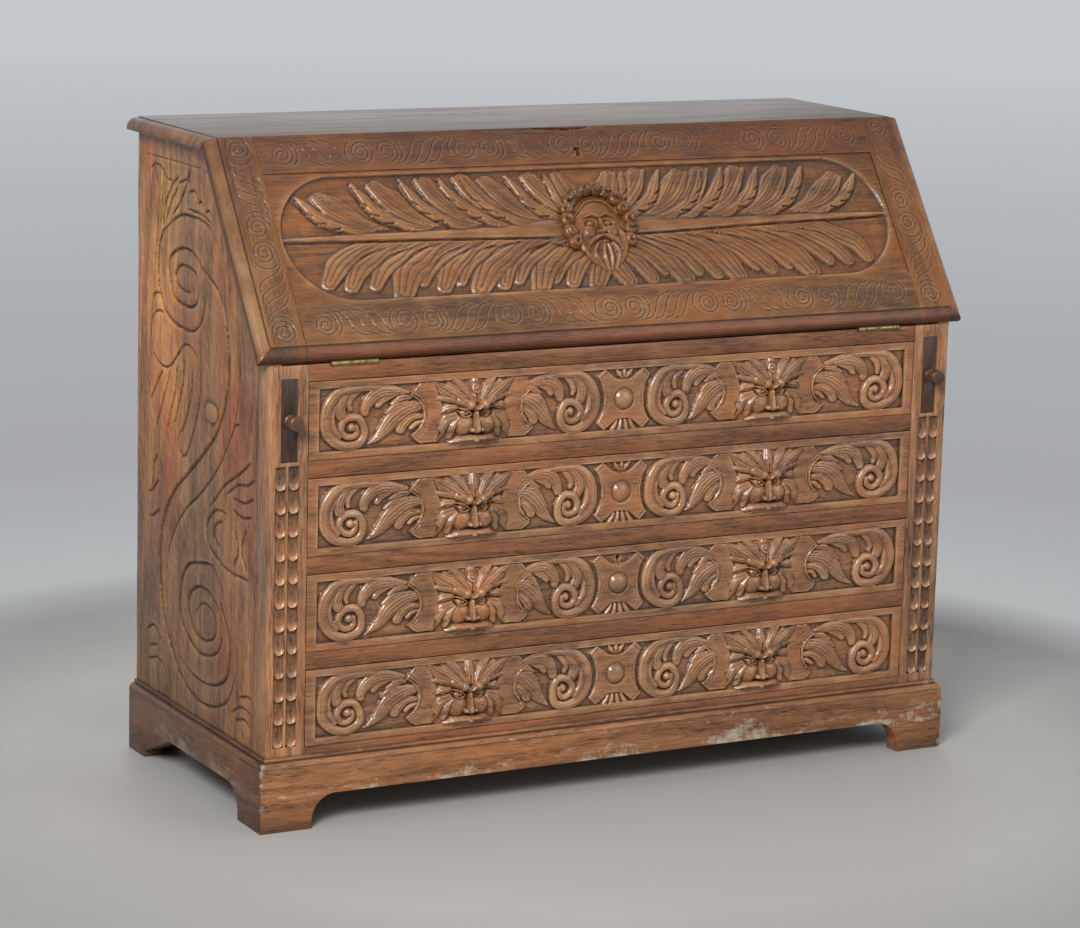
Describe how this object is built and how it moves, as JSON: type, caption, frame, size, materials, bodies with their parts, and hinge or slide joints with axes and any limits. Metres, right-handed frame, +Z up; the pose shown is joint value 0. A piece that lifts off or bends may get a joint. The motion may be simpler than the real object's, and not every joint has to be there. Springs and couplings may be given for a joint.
{
  "type": "fall-front bureau",
  "caption": "Carved oak fall-front bureau with long drawers, a sloping hinged fall resting on pull-out lopers, and a fitted interior of pigeonholes and small drawers.",
  "frame": {"origin": "on the floor, under the middle of the whole object's box", "axes": "+X to the bureau's right as seen from the front, +Y from front to back, +Z up"},
  "size_m": [1.24, 0.538, 1.022],
  "materials": {
    "oak": "waxed and worn carved oak",
    "oak_inside": "plain unpolished oak",
    "oak_dark": "dark handled oak",
    "brass": "old dull brass",
    "steel": "plain old iron and steel"
  },
  "bodies": {
    "carcase": {"side_left": "oak", "side_right": "oak", "top_board": "oak", "back_boards": "oak_inside", "bottom_board": "oak", "front_post_left": "oak", "front_post_right": "oak", "top_rail": "oak", "drawer_dividers": "oak", "drawer_runners": "oak_inside", "loper_walls": "oak_inside", "writing_bed": "oak_inside", "plinth_front": "oak", "plinth_left": "oak", "plinth_right": "oak", "plinth_back": "oak_inside", "plinth_blocks": "oak_inside", "interior_shelf": "oak_inside", "interior_partitions": "oak_inside", "hinge_case_leaves": "brass", "hinge_pins": "steel", "hinge_case_screws": "steel"},
    "fall": {"fall_panel": "oak", "fall_top_rail": "oak", "fall_bottom_rail": "oak", "fall_stile_left": "oak", "fall_stile_right": "oak", "fall_mask": "oak", "fall_lock": "steel", "hinge_fall_leaves": "brass", "hinge_fall_screws": "steel"},
    "fall_bolt": {"fall_lock_bolt": "steel"},
    "loper_left": {"loper_left": "oak_dark", "loper_knob_left": "oak_dark"},
    "small_drawer_left": {"small_drawer_left_front": "oak_inside", "small_drawer_left_box": "oak_inside", "small_drawer_left_knob": "oak_dark"},
    "loper_right": {"loper_right": "oak_dark", "loper_knob_right": "oak_dark"},
    "small_drawer_right": {"small_drawer_right_front": "oak_inside", "small_drawer_right_box": "oak_inside", "small_drawer_right_knob": "oak_dark"},
    "drawer_1": {"drawer_1_front": "oak", "drawer_1_box": "oak_inside", "drawer_1_bottom": "oak_inside", "drawer_1_masks": "oak"},
    "drawer_2": {"drawer_2_front": "oak", "drawer_2_box": "oak_inside", "drawer_2_bottom": "oak_inside", "drawer_2_masks": "oak"},
    "drawer_3": {"drawer_3_front": "oak", "drawer_3_box": "oak_inside", "drawer_3_bottom": "oak_inside", "drawer_3_masks": "oak", "drawer_3_lock": "steel"},
    "drawer_4": {"drawer_4_front": "oak", "drawer_4_box": "oak_inside", "drawer_4_bottom": "oak_inside", "drawer_4_masks": "oak"},
    "drawer_3_bolt": {"drawer_3_lock_bolt": "steel"}
  },
  "joints": [
    {"name": "fall_hinge", "type": "hinge", "parent": "carcase", "child": "fall", "pos_m": [0, -0.2405, 0.707], "axis": [1, 0, 0], "range_deg": [0, 125.4]},
    {"name": "fall_bolt_slide", "type": "slide", "parent": "fall", "child": "fall_bolt", "axis": [0, 0.5793, 0.8151], "range_m": [0, 0.006]},
    {"name": "loper_left_slide", "type": "slide", "parent": "carcase", "child": "loper_left", "axis": [0, -1, 0], "range_m": [0, 0.26]},
    {"name": "loper_right_slide", "type": "slide", "parent": "carcase", "child": "loper_right", "axis": [0, -1, 0], "range_m": [0, 0.26]},
    {"name": "drawer_1_slide", "type": "slide", "parent": "carcase", "child": "drawer_1", "axis": [0, -1, 0], "range_m": [0, 0.33]},
    {"name": "drawer_2_slide", "type": "slide", "parent": "carcase", "child": "drawer_2", "axis": [0, -1, 0], "range_m": [0, 0.33]},
    {"name": "drawer_3_slide", "type": "slide", "parent": "carcase", "child": "drawer_3", "axis": [0, -1, 0], "range_m": [0, 0.33]},
    {"name": "drawer_4_slide", "type": "slide", "parent": "carcase", "child": "drawer_4", "axis": [0, -1, 0], "range_m": [0, 0.33]},
    {"name": "drawer_3_bolt_slide", "type": "slide", "parent": "drawer_3", "child": "drawer_3_bolt", "axis": [0, 0, 1], "range_m": [0, 0.006]},
    {"name": "small_drawer_left_slide", "type": "slide", "parent": "carcase", "child": "small_drawer_left", "axis": [0, -1, 0], "range_m": [0, 0.15]},
    {"name": "small_drawer_right_slide", "type": "slide", "parent": "carcase", "child": "small_drawer_right", "axis": [0, -1, 0], "range_m": [0, 0.15]}
  ]
}
